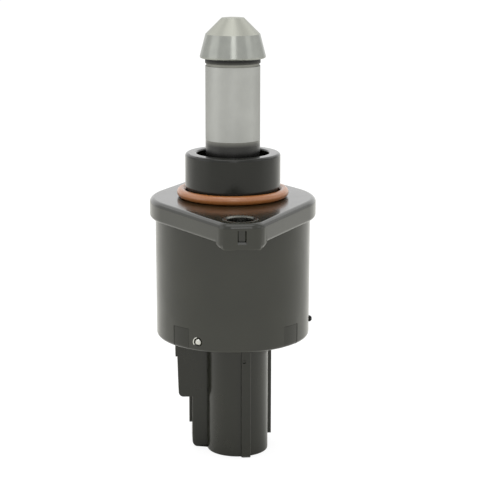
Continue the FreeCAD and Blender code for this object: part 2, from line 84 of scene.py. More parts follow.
def toMm(value):  # the other way: a length or a vector from the frame, in millimetres
    return value * 1000


def linear(hexColour):  # "#rrggbb" as seen on screen, turned to the linear values the shaders take
    channels = [int(hexColour[i:i + 2], 16) / 255 for i in (1, 3, 5)]
    return [c / 12.92 if c <= 0.04045 else ((c + 0.055) / 1.055) ** 2.4 for c in channels] + [1.0]


white = (1.0, 1.0, 1.0, 1.0)


def addNode(tree, kind, settings=None, links=None):
    node = tree.nodes.new(kind)
    for key, value in (settings or {}).items():
        if key == "stops":  # colour ramp: list of (position, hex colour)
            while len(node.color_ramp.elements) < len(value):
                node.color_ramp.elements.new(0.5)
            for element, (position, colour) in zip(node.color_ramp.elements, value):
                element.position = position
                element.color = linear(colour)
        elif isinstance(key, int) or key in node.inputs:
            node.inputs[key].default_value = value
        else:
            setattr(node, key, value)
    for socket, source in (links or {}).items():
        tree.links.new(source, node.inputs[socket])
    return node


# Camera: the photograph's viewpoint, a little above the flange and turned slightly off the screw line

camera = {
    "aimHeight": -10.63,  # the point on the valve's axis that sits at half the picture's height
    "distance": 373.6,
    "elevation": 12.3,
    "turn": 3.5,
    "lens": 118.5,
    "sensor": 36.0,
    "shiftX": 0.015,  # the valve stands a little left of the picture's middle
    "nearest": 10.0,
    "farthest": 20000.0,
}


def makeCamera():
    data = bpy.data.cameras.new("camera")
    data.lens = camera["lens"]
    data.sensor_width = camera["sensor"]
    data.shift_x = camera["shiftX"]
    data.clip_start = mm(camera["nearest"])
    data.clip_end = mm(camera["farthest"])
    data.dof.use_dof = False
    eye = bpy.data.objects.new("camera", data)
    rise = math.radians(camera["elevation"])
    turn = math.radians(camera["turn"])
    away = Vector((-math.sin(turn) * math.cos(rise), -math.cos(turn) * math.cos(rise), math.sin(rise)))
    eye.location = Vector((0, 0, mm(camera["aimHeight"]))) + away * mm(camera["distance"])
    eye.rotation_mode = "QUATERNION"
    eye.rotation_quaternion = (-away).to_track_quat("-Z", "Y")
    bpy.context.scene.collection.objects.link(eye)
    bpy.context.scene.camera = eye


makeCamera()
print("camera set")

# Studio: white surround, pale floor and large soft lamps

studio = {
    "skyForMatt": 0.8,  # how strongly the surround lights matt surfaces
    "skySeen": 1.0,  # how bright it looks to the camera and in reflections
    "floorHalf": 4000.0,
    "floorHex": "#f4f3ec",
    "floorGlow": 0.84,  # its own brightness to the camera
    "floorShare": 0.26,  # and what light and shadow add to that
    "floorSpare": 0.2,  # its own brightness in reflections, where the lit paper does the rest
    "lamps": [
        # name, place, aim, width, height, radiance
        ("overhead", (-60, -120, 520), (0, 0, 20), 420, 420, 1.1),
        ("highLeft", (-470, 300, 470), (0, 0, 30), 380, 380, 0.55),
        ("highRight", (470, 300, 470), (0, 0, 30), 380, 380, 0.75),
        ("frontStrip", (-8, -563, 245), (0, 0, 40), 180, 260, 1.85),
        ("leftBox", (-520, -90, 60), (0, 0, -10), 350, 620, 0.54),
        ("rightBox", (520, -60, -60), (0, 0, -10), 220, 380, 0.38),
        ("rightWindow", (400, -210, 215), (0, 0, 30), 190, 220, 0.55),
        ("backWall", (0, 900, 240), (0, 0, 0), 1700, 1000, 0.35),
    ],
}


def makeWorld():
    world = bpy.data.worlds.new("surround")
    bpy.context.scene.world = world
    world.use_nodes = True
    tree = world.node_tree
    tree.nodes.clear()
    path = addNode(tree, "ShaderNodeLightPath")
    first = addNode(tree, "ShaderNodeMath", {"operation": "MAXIMUM"},
                    {0: path.outputs["Is Camera Ray"], 1: path.outputs["Is Glossy Ray"]})
    seen = addNode(tree, "ShaderNodeMath", {"operation": "MAXIMUM"},
                   {0: first.outputs[0], 1: path.outputs["Is Transmission Ray"]})
    forMatt = addNode(tree, "ShaderNodeBackground", {"Color": white, "Strength": studio["skyForMatt"]})
    forSight = addNode(tree, "ShaderNodeBackground", {"Color": white, "Strength": studio["skySeen"]})
    mixed = addNode(tree, "ShaderNodeMixShader", None,
                    {0: seen.outputs[0], 1: forMatt.outputs[0], 2: forSight.outputs[0]})
    addNode(tree, "ShaderNodeOutputWorld", None, {"Surface": mixed.outputs[0]})


def makeLamps():
    for name, place, aim, width, height, radiance in studio["lamps"]:
        data = bpy.data.lights.new(name, "AREA")
        data.shape = "RECTANGLE"
        data.size = mm(width)
        data.size_y = mm(height)
        data.energy = radiance * math.pi * mm(width) * mm(height)
        lamp = bpy.data.objects.new(name, data)
        lamp.location = [mm(v) for v in place]
        lamp.rotation_mode = "QUATERNION"
        lamp.rotation_quaternion = (Vector(aim) - Vector(place)).to_track_quat("-Z", "Y")
        lamp.visible_camera = False
        bpy.context.scene.collection.objects.link(lamp)


def makeFloor():
    bm = bmesh.new()
    bmesh.ops.create_grid(bm, x_segments=1, y_segments=1, size=mm(studio["floorHalf"]))
    bmesh.ops.translate(bm, verts=bm.verts, vec=(0, 0, cadBox[0][2]))
    mesh = bpy.data.meshes.new("floor")
    bm.to_mesh(mesh)
    bm.free()
    floor = bpy.data.objects.new("floor", mesh)
    bpy.context.scene.collection.objects.link(floor)

    # white paper: part of its brightness is its own to the camera, the rest is lit, so a soft shadow stays
    paper = bpy.data.materials.new("whitePaperFloor")
    paper.use_nodes = True
    tree = paper.node_tree
    tree.nodes.clear()
    path = addNode(tree, "ShaderNodeLightPath")
    whole = addNode(tree, "ShaderNodeBsdfDiffuse", {"Color": linear(studio["floorHex"])})
    spare = addNode(tree, "ShaderNodeEmission", {"Color": white, "Strength": studio["floorSpare"]})
    lit = addNode(tree, "ShaderNodeAddShader", None, {0: whole.outputs[0], 1: spare.outputs[0]})
    glow = addNode(tree, "ShaderNodeEmission", {"Color": white, "Strength": studio["floorGlow"]})
    litShare = addNode(tree, "ShaderNodeBsdfDiffuse", {"Color": [studio["floorShare"]] * 3 + [1.0]})
    shown = addNode(tree, "ShaderNodeAddShader", None, {0: glow.outputs[0], 1: litShare.outputs[0]})
    mixed = addNode(tree, "ShaderNodeMixShader", None,
                    {0: path.outputs["Is Camera Ray"], 1: lit.outputs[0], 2: shown.outputs[0]})
    addNode(tree, "ShaderNodeOutputMaterial", None, {"Surface": mixed.outputs[0]})
    mesh.materials.append(paper)


makeWorld()
makeLamps()
makeFloor()
print("studio set")

# Materials

noiseLow = 0.3  # nearly all values of a noise texture lie between these two
noiseHigh = 0.7
grainLow = 0.35  # closer together, for more contrast in a fine grain
grainHigh = 0.65
gritReach = 0.6  # a cell texture's distance seldom passes this
wireLow = 0.1  # the dark gap between two turns of wire is narrower than the turn
wireHigh = 0.8


def newMaterial(name):
    material = bpy.data.materials.new(name)
    material.use_nodes = True
    material.node_tree.nodes.clear()
    return material, material.node_tree


def finishMaterial(tree, shader):
    addNode(tree, "ShaderNodeOutputMaterial", None, {"Surface": shader.outputs[0]})


def valueAlongZ(tree, place, low, high, start=0.0, end=1.0):
    # a value that runs from start to end between two heights on the piece
    height = addNode(tree, "ShaderNodeSeparateXYZ", None, {0: place.outputs["Object"]})
    ramp = addNode(tree, "ShaderNodeMapRange",
                   {"From Min": mm(low), "From Max": mm(high), "To Min": start, "To Max": end},
                   {"Value": height.outputs["Z"]})
    return ramp.outputs[0]


def fadeAlongZ(tree, place, colour, fade):
    # blends a colour into another one, which it reaches at the second height
    if not fade:
        return colour
    first, second, hexColour = fade
    share = valueAlongZ(tree, place, first, second)
    blend = addNode(tree, "ShaderNodeMix", {"data_type": "RGBA", 7: linear(hexColour)},
                    {0: share, 6: colour})
    return blend.outputs[2]


def mouldedNylon(name, values, fade=None, mark=None):
    # glass-filled nylon or PBT, injection moulded against a polished tool: smooth, wet-looking skin
    material, tree = newMaterial(name)
    place = addNode(tree, "ShaderNodeTexCoord")
    clouds = addNode(tree, "ShaderNodeTexNoise", {"Scale": 1 / mm(values["cloudSize"]), "Detail": 3.0},
                     {"Vector": place.outputs["Object"]})
    tone = addNode(tree, "ShaderNodeValToRGB",
                   {"stops": [(noiseLow, values["darkHex"]), (noiseHigh, values["lightHex"])]},
                   {"Fac": clouds.outputs["Fac"]})
    peel = addNode(tree, "ShaderNodeTexNoise", {"Scale": 1 / mm(values["peelSize"]), "Detail": 2.0},
                   {"Vector": place.outputs["Object"]})
    wear = addNode(tree, "ShaderNodeMapRange",
                   {"From Min": noiseLow, "From Max": noiseHigh,
                    "To Min": values["roughLow"], "To Max": values["roughHigh"]},
                   {"Value": clouds.outputs["Fac"]})
    bump = addNode(tree, "ShaderNodeBump",
                   {"Strength": values["peelStrength"], "Distance": mm(values["peelDepth"])},
                   {"Height": peel.outputs["Fac"]})
    colour = fadeAlongZ(tree, place, tone.outputs[0], fade)
    if mark:  # a small round hollow
        away = addNode(tree, "ShaderNodeVectorMath",
                       {"operation": "DISTANCE", 1: [mm(c) for c in mark["centre"]]},
                       {0: place.outputs["Object"]})
        bowl = addNode(tree, "ShaderNodeMapRange",
                       {"interpolation_type": "SMOOTHSTEP", "From Min": mm(mark["flatRadius"]),
                        "From Max": mm(mark["radius"])},
                       {"Value": away.outputs["Value"]})
        bump = addNode(tree, "ShaderNodeBump", {"Strength": 1.0, "Distance": mm(mark["depth"])},
                       {"Height": bowl.outputs[0], "Normal": bump.outputs[0]})
    skin = addNode(tree, "ShaderNodeBsdfPrincipled",
                   {"IOR": values["ior"], "Specular IOR Level": values["specular"]},
                   {"Base Color": colour, "Roughness": wear.outputs[0], "Normal": bump.outputs[0]})
    finishMaterial(tree, skin)
    return material


def rubber(name, values, fade=None):
    # moulded elastomer: even colour, soft satin sheen, faint grain
    material, tree = newMaterial(name)
    place = addNode(tree, "ShaderNodeTexCoord")
    grain = addNode(tree, "ShaderNodeTexNoise", {"Scale": 1 / mm(values["grainSize"]), "Detail": 4.0},
                    {"Vector": place.outputs["Object"]})
    tone = addNode(tree, "ShaderNodeValToRGB",
                   {"stops": [(grainLow, values["darkHex"]), (grainHigh, values["lightHex"])]},
                   {"Fac": grain.outputs["Fac"]})
    bump = addNode(tree, "ShaderNodeBump",
                   {"Strength": values["grainStrength"], "Distance": mm(values["grainDepth"])},
                   {"Height": grain.outputs["Fac"]})
    colour = fadeAlongZ(tree, place, tone.outputs[0], fade)
    skin = addNode(tree, "ShaderNodeBsdfPrincipled",
                   {"IOR": values["ior"], "Roughness": values["rough"],
                    "Specular IOR Level": values["specular"]},
                   {"Base Color": colour, "Normal": bump.outputs[0]})
    finishMaterial(tree, skin)
    return material


ringStretch = (0.02, 0.02, 1.0)  # draws a noise out sideways, so that it lies in rings round the axis


def turnedMetal(name, values, fade=None, gloss=None):
    # turned on a lathe: fine rings round the Z axis stretch each reflection up and down
    material, tree = newMaterial(name)
    place = addNode(tree, "ShaderNodeTexCoord")
    stretch = addNode(tree, "ShaderNodeMapping", {"Scale": ringStretch},
                      {"Vector": place.outputs["Object"]})
    rings = addNode(tree, "ShaderNodeTexNoise", {"Scale": 1 / mm(values["ringPitch"]), "Detail": 2.0},
                    {"Vector": stretch.outputs[0]})
    mottle = addNode(tree, "ShaderNodeTexNoise", {"Scale": 1 / mm(values["mottleSize"]), "Detail": 3.0},
                     {"Vector": place.outputs["Object"]})
    tone = addNode(tree, "ShaderNodeValToRGB",
                   {"stops": [(noiseLow, values["darkHex"]), (noiseHigh, values["lightHex"])]},
                   {"Fac": mottle.outputs["Fac"]})
    bump = addNode(tree, "ShaderNodeBump",
                   {"Strength": values["ringStrength"], "Distance": mm(values["ringDepth"])},
                   {"Height": rings.outputs["Fac"]})
    round_ = addNode(tree, "ShaderNodeTangent", {"direction_type": "RADIAL", "axis": "Z"})
    colour = fadeAlongZ(tree, place, tone.outputs[0], fade)
    skin = addNode(tree, "ShaderNodeBsdfPrincipled",
                   {"Metallic": 1.0, "Roughness": values["rough"], "Anisotropic": values["anisotropy"],
                    "Anisotropic Rotation": 0.25,  # a quarter turn: the gloss spreads across the tool marks
                    "Specular Tint": linear(values["edgeHex"])},
                   {"Base Color": colour, "Normal": bump.outputs[0], "Tangent": round_.outputs[0]})
    if gloss:  # low, high, and the roughness at each
        tree.links.new(valueAlongZ(tree, place, *gloss), skin.inputs["Roughness"])
    finishMaterial(tree, skin)
    return material


def plainMetal(name, values, fade=None):
    # plated, ground or pressed metal: even, with a fine mottle in its gloss
    material, tree = newMaterial(name)
    place = addNode(tree, "ShaderNodeTexCoord")
    mottle = addNode(tree, "ShaderNodeTexNoise", {"Scale": 1 / mm(values["mottleSize"]), "Detail": 3.0},
                     {"Vector": place.outputs["Object"]})
    tone = addNode(tree, "ShaderNodeValToRGB",
                   {"stops": [(noiseLow, values["darkHex"]), (noiseHigh, values["lightHex"])]},
                   {"Fac": mottle.outputs["Fac"]})
    gloss = addNode(tree, "ShaderNodeMapRange",
                    {"From Min": noiseLow, "From Max": noiseHigh,
                     "To Min": values["roughLow"], "To Max": values["roughHigh"]},
                    {"Value": mottle.outputs["Fac"]})
    colour = fadeAlongZ(tree, place, tone.outputs[0], fade)
    skin = addNode(tree, "ShaderNodeBsdfPrincipled", {"Metallic": 1.0},
                   {"Base Color": colour, "Roughness": gloss.outputs[0]})
    finishMaterial(tree, skin)
    return material


def sintered(name, values):
    # pressed powder, such as ferrite or bronze: matt, grainy
    material, tree = newMaterial(name)
    place = addNode(tree, "ShaderNodeTexCoord")
    grit = addNode(tree, "ShaderNodeTexVoronoi", {"Scale": 1 / mm(values["gritSize"])},
                   {"Vector": place.outputs["Object"]})
    tone = addNode(tree, "ShaderNodeValToRGB",
                   {"stops": [(0.0, values["darkHex"]), (gritReach, values["lightHex"])]},
                   {"Fac": grit.outputs["Distance"]})
    bump = addNode(tree, "ShaderNodeBump",
                   {"Strength": values["gritStrength"], "Distance": mm(values["gritDepth"])},
                   {"Height": grit.outputs["Distance"]})
    skin = addNode(tree, "ShaderNodeBsdfPrincipled",
                   {"Metallic": values["metallic"], "Roughness": values["rough"]},
                   {"Base Color": tone.outputs[0], "Normal": bump.outputs[0]})
    finishMaterial(tree, skin)
    return material


bandLength = 0.314  # a wave texture of scale 1 repeats after this many metres


def woundWire(name, values):
    # enamelled wire laid in turns round the Z axis, drawn coarser than it is so that the turns show
    material, tree = newMaterial(name)
    place = addNode(tree, "ShaderNodeTexCoord")
    drawnPitch = mm(values["wirePitch"]) * values["coarser"]
    turns = addNode(tree, "ShaderNodeTexWave",
                    {"wave_type": "BANDS", "bands_direction": "Z", "Scale": bandLength / drawnPitch,
                     "Distortion": values["waver"], "Detail": 1.0},
                    {"Vector": place.outputs["Object"]})
    tone = addNode(tree, "ShaderNodeValToRGB",
                   {"stops": [(wireLow, values["darkHex"]), (wireHigh, values["lightHex"])]},
                   {"Fac": turns.outputs["Fac"]})
    bump = addNode(tree, "ShaderNodeBump",
                   {"Strength": values["turnStrength"], "Distance": mm(values["wirePitch"]) / 2},
                   {"Height": turns.outputs["Fac"]})
    skin = addNode(tree, "ShaderNodeBsdfPrincipled",
                   {"Metallic": values["metallic"], "Roughness": values["rough"]},
                   {"Base Color": tone.outputs[0], "Normal": bump.outputs[0]})
    finishMaterial(tree, skin)
    return material


finishes = {
    "housing": {"darkHex": "#1c1d15", "lightHex": "#22231a", "ior": 1.53, "cloudSize": 9.0,
                "peelSize": 0.9, "peelStrength": 0.2, "peelDepth": 0.01, "roughLow": 0.15,
                "roughHigh": 0.2, "specular": 0.5},
    # painted shade: the neck is the same moulding as the housing, drawn darker and less shiny
    "neck": {"darkHex": "#11120c", "lightHex": "#151610", "ior": 1.53, "cloudSize": 6.0,
             "peelSize": 0.9, "peelStrength": 0.2, "peelDepth": 0.01, "roughLow": 0.15,
             "roughHigh": 0.2, "specular": 0.34},
    "connector": {"darkHex": "#13140c", "lightHex": "#191a11", "ior": 1.5, "cloudSize": 7.0,
                  "peelSize": 0.8, "peelStrength": 0.25, "peelDepth": 0.01, "roughLow": 0.22,
                  "roughHigh": 0.28, "specular": 0.46},
    "plungerBody": {"darkHex": "#151514", "lightHex": "#1b1b19", "ior": 1.5, "cloudSize": 5.0,
                    "peelSize": 0.7, "peelStrength": 0.2, "peelDepth": 0.01, "roughLow": 0.22,
                    "roughHigh": 0.28, "specular": 0.5},
    "oRing": {"darkHex": "#9e5f2c", "lightHex": "#a76935", "ior": 1.5, "grainSize": 0.35,
              "grainStrength": 0.2, "grainDepth": 0.015, "rough": 0.27, "specular": 0.9},
    "blackRubber": {"darkHex": "#0c0c0b", "lightHex": "#131312", "ior": 1.5, "grainSize": 0.3,
                    "grainStrength": 0.4, "grainDepth": 0.02, "rough": 0.6, "specular": 0.4},
    "tip": {"darkHex": "#939590", "lightHex": "#9b9d97", "edgeHex": "#e4e4e4", "ringPitch": 0.12,
            "ringStrength": 0.3, "ringDepth": 0.01, "mottleSize": 2.5, "rough": 0.3, "anisotropy": 0.8},
    "sleeve": {"darkHex": "#a3a4a1", "lightHex": "#abaca9", "edgeHex": "#dcdcdc", "ringPitch": 0.2,
               "ringStrength": 0.1, "ringDepth": 0.006, "mottleSize": 6.0, "rough": 0.5, "anisotropy": 0.3},
    "blackSteel": {"darkHex": "#1c1c1b", "lightHex": "#262625", "mottleSize": 0.6, "roughLow": 0.3,
                   "roughHigh": 0.4},
    "platedSteel": {"darkHex": "#b9b9b3", "lightHex": "#c9c9c3", "mottleSize": 0.8, "roughLow": 0.2,
                    "roughHigh": 0.32},
    "bushSteel": {"darkHex": "#6e6e68", "lightHex": "#82827c", "mottleSize": 0.7, "roughLow": 0.22,
                  "roughHigh": 0.32},
    "brightSteel": {"darkHex": "#b4b4b2", "lightHex": "#c4c4c2", "mottleSize": 1.0, "roughLow": 0.14,
                    "roughHigh": 0.22},
    "statorSheet": {"darkHex": "#9c9c9a", "lightHex": "#adadab", "mottleSize": 1.6, "roughLow": 0.3,
                    "roughHigh": 0.42},
    "tinnedBrass": {"darkHex": "#c2bfb4", "lightHex": "#d2cfc4", "mottleSize": 0.9, "roughLow": 0.22,
                    "roughHigh": 0.34},
    "ferrite": {"darkHex": "#2a2a2c", "lightHex": "#3c3c3e", "gritSize": 0.25, "gritDepth": 0.02,
                "gritStrength": 0.4, "metallic": 0.3, "rough": 0.55},
    "bronze": {"darkHex": "#8a6a40", "lightHex": "#b08a58", "gritSize": 0.2, "gritDepth": 0.02,
               "gritStrength": 0.4, "metallic": 0.9, "rough": 0.45},
    "naturalPlastic": {"darkHex": "#d6d2c2", "lightHex": "#e2decf", "ior": 1.5, "cloudSize": 3.0,
                       "peelSize": 0.6, "peelStrength": 0.2, "peelDepth": 0.01, "roughLow": 0.35,
                       "roughHigh": 0.45, "specular": 0.5},
    "windings": {"darkHex": "#6a3415", "lightHex": "#b4662f", "wirePitch": 0.16, "coarser": 2.0,
                 "waver": 0.4, "turnStrength": 0.8, "metallic": 0.7, "rough": 0.35},
}

gateMark = {  # where the connector's melt came in, on the front of its rib
    "centre": (2.2, -8.3, -38.2),
    "radius": 0.5,
    "flatRadius": 0.2,
    "depth": 0.25,
}

tones = {  # where a piece changes its tone, mostly as painted shade and light: heights, or distances from one of its ends
    "plungerBand": 1.2,  # the black body pales over this length, up to the tube's foot
    "plungerBandHex": "#70706a",
    "sealShadeBand": 0.6,  # painted shade on the seal under the tip: black right under the tip, paler down to its own foot
    "sealShadeBandHex": "#454540",
    "shoulder": 37.9,  # above it the tip's shallow cone is duller than the steep one below, and paler, partly from its finish and partly as painted light from above
    "shoulderBlur": 0.05,
    "coneFinishAndLitHex": "#afb0a7",
    "coneRough": 0.5,
    "headShadeStart": 0.66,  # painted shade: a darker band round the tube's head, just below the tip and its seal, measured down from its head
    "headShadeEnd": 0.62,
    "headShadeHex": "#888882",
    "boreShadeTop": -0.4,  # painted shade: the bushes darken down their bores
    "boreShadeDeep": -2.0,
    "boreShadeHex": "#3a3a36",
}

mouldedHousing = mouldedNylon("glossyBlackNylonHousing", finishes["housing"])
shadedNeckSkin = mouldedNylon("glossyBlackNylonNeckShaded", finishes["neck"])
mouldedConnector = mouldedNylon("glossyBlackNylonConnector", finishes["connector"], mark=gateMark)
naturalNylon = mouldedNylon("naturalNylon", finishes["naturalPlastic"])
brownElastomer = rubber("brownElastomerORing", finishes["oRing"])
blackElastomer = rubber("blackElastomer", finishes["blackRubber"])

sleeveFoot, sleeveHead = [toMm(corner.z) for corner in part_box("plunger_sleeve")]
mouldedPlunger = mouldedNylon("glossyBlackNylonPlunger", finishes["plungerBody"],
                              (sleeveFoot - tones["plungerBand"], sleeveFoot, tones["plungerBandHex"]))
# the tube's darker head band is painted shade below the tip
satinSleeve = turnedMetal("satinAluminiumSleeve", finishes["sleeve"],
                          (sleeveHead - tones["headShadeStart"], sleeveHead - tones["headShadeEnd"],
                           tones["headShadeHex"]))

sealFoot = toMm(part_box("tip_seal")[0].z)
# painted shade: the seal is black under the tip and paler towards its foot
shadedTipElastomer = rubber("blackElastomerTipShadeBand", finishes["blackRubber"],
                      (sealFoot + tones["sealShadeBand"], sealFoot, tones["sealShadeBandHex"]))

shoulderLow = tones["shoulder"] - tones["shoulderBlur"]
shoulderHigh = tones["shoulder"] + tones["shoulderBlur"]
# the shallow cone's paler tone is partly its finish and partly painted light from above
turnedTip = turnedMetal("turnedAluminiumTip", finishes["tip"],
                        (shoulderLow, shoulderHigh, tones["coneFinishAndLitHex"]),
                        (shoulderLow, shoulderHigh, finishes["tip"]["rough"], tones["coneRough"]))

zincSteel = plainMetal("zincPlatedSteel", finishes["platedSteel"])
# painted shade darkens the bushes down their bores
bushSteel = plainMetal("phosphatedBush", finishes["bushSteel"],
                       (tones["boreShadeTop"], tones["boreShadeDeep"], tones["boreShadeHex"]))
# dark steel for pins 2 and 3
darkPinSteel = plainMetal("darkSteelPins", finishes["blackSteel"])
groundSteel = plainMetal("groundBearingSteel", finishes["brightSteel"])
pressedSheet = plainMetal("pressedStatorSheet", finishes["statorSheet"])
tinned = plainMetal("tinnedBrass", finishes["tinnedBrass"])
ferriteMagnet = sintered("sinteredFerrite", finishes["ferrite"])
oiledBronze = sintered("sinteredBronze", finishes["bronze"])
copperTurns = woundWire("enamelledCopperTurns", finishes["windings"])
print("materials made:", len(bpy.data.materials))

# Pieces

slack = 0.01  # margin for telling on which side of a plane or line a point lies
fineSlack = 0.001
weldDistance = 0.0005  # points nearer to each other than this are one


def bodyOf(node):
    return frame["nodes"][node]["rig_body"]


def finishPiece(bm, name, material, body, nodes, sharpAngle=32.0):
    # an edge turned by more than sharpAngle degrees shows as an edge, the others as a smooth surface
    for face in bm.faces:
        face.smooth = True
    for edge in bm.edges:
        if len(edge.link_faces) == 2 and edge.calc_face_angle(0.0) > math.radians(sharpAngle):
            edge.smooth = False
    mesh = bpy.data.meshes.new(name)
    bm.to_mesh(mesh)
    bm.free()
    mesh.materials.append(material)
    piece = bpy.data.objects.new(name, mesh)
    bpy.context.scene.collection.objects.link(piece)
    weighted = piece.modifiers.new("evenShading", "WEIGHTED_NORMAL")
    weighted.mode = "FACE_AREA"  # flat faces stay flat beside small rounds
    weighted.weight = 100
    weighted.keep_sharp = True
    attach(piece, body)
    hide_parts(*nodes)
    return piece


def mergedCopy(node, name, material, sharpAngle=32.0, reshape=None):
    bm = bmesh.new()
    bm.from_mesh(frame["nodes"][node].data)
    bmesh.ops.remove_doubles(bm, verts=bm.verts, dist=mm(weldDistance))
    if reshape:
        reshape(bm)
    return finishPiece(bm, name, material, bodyOf(node), [node], sharpAngle)


def sweptSolid(bm, outline, axis, angle, steps):
    # a flat face through the outline's points, swept round an axis by part of a turn
    before = set(bm.faces)
    face = bm.faces.new([bm.verts.new([mm(c) for c in point]) for point in outline])
    bmesh.ops.spin(bm, geom=[face] + face.edges[:] + face.verts[:], cent=(0, 0, 0), axis=axis,
                   dvec=(0, 0, 0), angle=math.radians(angle), steps=steps)
    bmesh.ops.recalc_face_normals(bm, faces=[f for f in bm.faces if f not in before])


def spinWhole(bm, steps):
    # a full turn of everything in the mesh round the Z axis
    bmesh.ops.spin(bm, geom=bm.verts[:] + bm.edges[:], cent=(0, 0, 0), axis=(0, 0, 1), dvec=(0, 0, 0),
                   angle=2 * math.pi, steps=steps, use_merge=True)
    bmesh.ops.remove_doubles(bm, verts=bm.verts, dist=mm(weldDistance))
    bmesh.ops.recalc_face_normals(bm, faces=bm.faces)


boss = {
    "reach": 33.0,  # from the axis to the outer face
    "start": 21.0,  # what lies nearer to the axis is left as it is
    "halfWidth": 5.6,
    "top": -1.2,
    "flangeFoot": -4.7,
    "foot": -5.9,
    "footRound": 0.4,
    "footTaper": 0.14,  # share of the half width that is lost at the foot
    "taperedWall": 1.2,  # how far in from each side that reaches
    "cornerRadius": 2.4,
    "tipRadius": 3.6,  # the flange's rounded tip, which the softened corners follow
    "discRadius": 19.5,
    "widthMargin": 0.3,
}


def softenBosses(bm):
    # moves the square corners in to the flange's rounded tip and straight sides, seen from above
    hard = Vector((boss["halfWidth"] - boss["cornerRadius"], boss["reach"] - boss["cornerRadius"]))
    soft = Vector((boss["halfWidth"] - boss["tipRadius"], boss["reach"] - boss["tipRadius"]))
    lean = math.atan2(soft.y, soft.x) - math.acos((boss["discRadius"] - boss["tipRadius"]) / soft.length)
    side = Vector((math.cos(lean), math.sin(lean)))
    outermost = mm(boss["halfWidth"] + boss["widthMargin"])
    around = [f for f in bm.faces if all(abs(v.co.y) > mm(boss["start"]) and abs(v.co.x) < outermost
                                         and v.co.z < mm(boss["top"] + slack) for v in f.verts)]
    edges = list({e for f in around for e in f.edges})
    verts = list({v for f in around for v in f.verts})
    bmesh.ops.bisect_plane(bm, geom=verts + edges + around, dist=mm(fineSlack),
                           plane_co=(0, 0, mm(boss["flangeFoot"])), plane_no=(0, 0, 1))
    for vert in bm.verts:
        x, y, z = toMm(vert.co)
        if z > boss["top"] + slack or abs(y) < boss["start"]:
            continue
        at = Vector((abs(x), abs(y)))
        if at.x > hard.x - fineSlack and at.y > hard.y - fineSlack:
            inset = 0.0
            if z < boss["foot"] + boss["footRound"] + slack:
                inset = boss["cornerRadius"] - (at - hard).length
            out = at - soft
            if math.atan2(out.y, out.x) < lean:
                at = at - side * max(at.dot(side) - boss["discRadius"] + inset, 0.0)
            elif inset or out.length > boss["tipRadius"]:
                at = soft + out.normalized() * (boss["tipRadius"] - inset)
        drop = max(boss["flangeFoot"] - z, 0) / (boss["flangeFoot"] - boss["foot"])
        if at.x > boss["halfWidth"] - boss["taperedWall"]:
            at.x = at.x * (1 - boss["footTaper"] * drop)
        vert.co.x = mm(math.copysign(at.x, x))
        vert.co.y = mm(math.copysign(at.y, y))


tongues = {
    "angles": (45, 135, 225, 315),
    "width": 14.5,
    "innerRadius": 16.3,
    "outerRadius": 18.04,
    "top": -32.4,
    "bottom": -33.3,
    "roundSteps": 6,
    "steps": 8,
}


def addTongueFeet(bm):
    # closes the skirt's rounded lower rim below each snap tongue
    round_ = tongues["top"] - tongues["bottom"]
    outline = [(tongues["innerRadius"], tongues["bottom"]), (tongues["innerRadius"], tongues["top"])]
    for i in range(tongues["roundSteps"] + 1):
        turn = math.radians(90 * i / tongues["roundSteps"])
        outline.append((tongues["outerRadius"] - round_ * (1 - math.cos(turn)),
                        tongues["top"] - round_ * math.sin(turn)))
    for middle in tongues["angles"]:
        start = math.radians(middle - tongues["width"] / 2)
        side = [(r * math.sin(start), -r * math.cos(start), z) for r, z in outline]
        sweptSolid(bm, side, (0, 0, 1), tongues["width"], tongues["steps"])


rib = {
    "x": 2.67,
    "halfWidth": 1.1,
    "backOfChamfer": -7.8,
    "edgeRound": 0.28,
    "roundSegments": 3,
    "shortest": 0.5,  # its long edges are longer than this
    "leastAngle": 20.0,
}


def softenRib(bm):
    # rounds the long upright edges of the front rib
    chosen = []
    for edge in bm.edges:
        a, b = [toMm(v.co) for v in edge.verts]
        onRib = all(abs(p.x - rib["x"]) < rib["halfWidth"] + slack and p.y < rib["backOfChamfer"] + slack
                    for p in (a, b))
        upright = abs(a.z - b.z) > rib["shortest"] and abs(a.x - b.x) < slack
        if onRib and upright and edge.calc_face_angle(0.0) > math.radians(rib["leastAngle"]):
            chosen.append(edge)
    bmesh.ops.bevel(bm, geom=chosen, offset=mm(rib["edgeRound"]), offset_type="OFFSET",
                    segments=rib["roundSegments"], profile=0.5, affect="EDGES", clamp_overlap=True,
                    material=-1)


wideKey = {
    "left": -14.0,
    "right": -6.16,  # where its front face meets the round lobe
    "front": -0.1,
    "proud": 0.3,  # the collar and the step stand out from it by less than this
    "setBack": 0.85,
    "innerWall": 1.2,  # the socket's wall behind it stays where it is
    "top": -32.45,
}


def setKeyBack(bm):
    # moves the key's front further back, with its collar and its step, but not the socket's wall
    frontmost = wideKey["front"] - wideKey["proud"]
    for vert in bm.verts:
        x, y, z = toMm(vert.co)
        inWidth = wideKey["left"] < x < wideKey["right"]
        if inWidth and z < wideKey["top"] and frontmost < y < wideKey["innerWall"]:
            share = min((wideKey["innerWall"] - y) / (wideKey["innerWall"] - wideKey["front"]), 1.0)
            vert.co.y += mm(wideKey["setBack"] * share)


def reshapeConnector(bm):
    softenRib(bm)
    setKeyBack(bm)
    addTongueFeet(bm)


def dressMouldings():
    housing = mergedCopy("housing", "housing_moulding", mouldedHousing, reshape=softenBosses)
    housing.data.materials.append(shadedNeckSkin)  # painted shade: the neck above the flange gets a darker, less shiny skin with a finer mottle
    for polygon in housing.data.polygons:
        if polygon.center.z > mm(slack):
            polygon.material_index = 1
    mergedCopy("connector_cover", "connector_moulding", mouldedConnector, reshape=reshapeConnector)
    mergedCopy("plunger_body", "plunger_moulding", mouldedPlunger)


oRing = {
    "slimmer": 0.14,  # how much smaller its section is than the solid's, at the same outer radius
    "sectionSteps": 40,
    "steps": 160,
}


